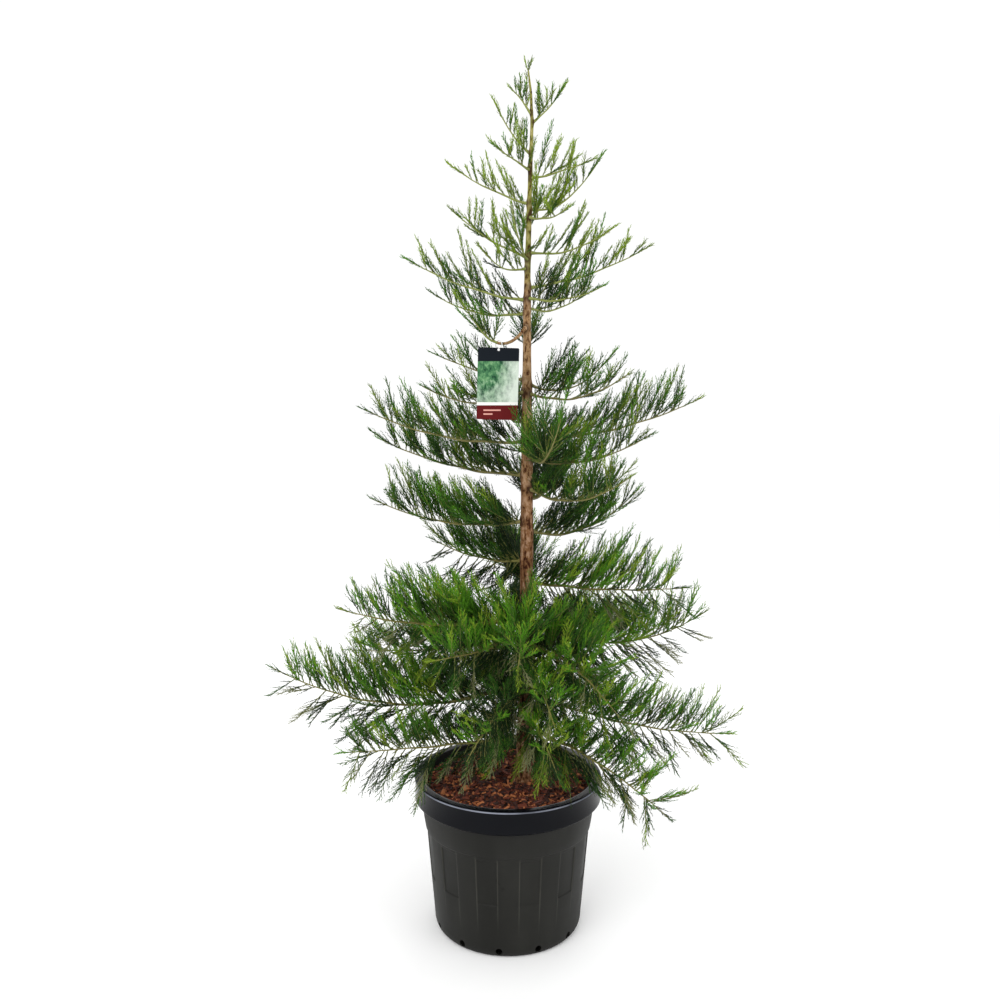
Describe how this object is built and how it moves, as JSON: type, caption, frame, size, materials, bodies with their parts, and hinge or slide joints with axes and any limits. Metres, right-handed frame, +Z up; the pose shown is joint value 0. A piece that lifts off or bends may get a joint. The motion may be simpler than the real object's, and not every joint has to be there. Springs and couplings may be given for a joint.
{
  "type": "young giant sequoia in a nursery pot",
  "caption": "Young cone-shaped giant sequoia with a single tapering trunk, level boughs that curve up and needle sprays, standing in a round black nursery pot filled with bark mulch.",
  "frame": {"origin": "middle of the pot's flat underside, on the level surface it stands on", "axes": "+Z up along the trunk; the side with the hanging tag faces -Y; +X to the right of that view"},
  "size_m": [0.9382, 0.6846, 1.7933],
  "materials": {
    "pot": "black moulded plastic, soft sheen",
    "mulch": "moist reddish-brown bark chips",
    "bark": "reddish-brown flaking bark",
    "foliage": "green awl-shaped needles on fine twigs",
    "tag": "printed plastic card"
  },
  "bodies": {
    "root": {"pot": "pot", "mulch": "mulch", "trunk": "bark", "tag": "tag", "foliage_leader": "foliage", "foliage_left_1": "foliage", "foliage_right_1": "foliage", "foliage_left_2": "foliage", "foliage_left_3": "foliage", "foliage_right_2": "foliage", "foliage_left_4": "foliage", "foliage_right_3": "foliage", "foliage_right_4": "foliage", "foliage_back_1": "foliage", "foliage_right_5": "foliage", "foliage_left_5": "foliage", "foliage_front_1": "foliage", "foliage_left_6": "foliage", "foliage_right_6": "foliage", "foliage_right_7": "foliage", "foliage_left_7": "foliage", "foliage_right_8": "foliage", "foliage_left_8": "foliage", "bough_front_2": "bark", "foliage_front_2": "foliage", "foliage_back_2": "foliage", "foliage_left_9": "foliage", "foliage_right_9": "foliage", "foliage_left_10": "foliage", "foliage_right_10": "foliage", "foliage_back_3": "foliage", "foliage_right_11": "foliage", "foliage_left_11": "foliage", "foliage_front_3": "foliage", "foliage_right_12": "foliage", "foliage_left_12": "foliage", "foliage_right_13": "foliage", "foliage_back_4": "foliage", "foliage_left_13": "foliage", "foliage_right_14": "foliage", "foliage_left_14": "foliage", "foliage_right_15": "foliage", "foliage_back_5": "foliage", "bough_left_16": "bark", "foliage_left_16": "foliage", "foliage_right_16": "foliage", "foliage_front_4": "foliage", "foliage_left_15": "foliage", "foliage_front_5": "foliage", "foliage_front_6": "foliage", "foliage_front_7": "foliage", "foliage_front_8": "foliage", "foliage_front_9": "foliage", "foliage_back_6": "foliage", "bough_left_17": "bark", "foliage_left_17": "foliage", "foliage_right_17": "foliage", "foliage_right_18": "foliage", "foliage_left_18": "foliage", "foliage_back_7": "foliage"}
  },
  "joints": []
}
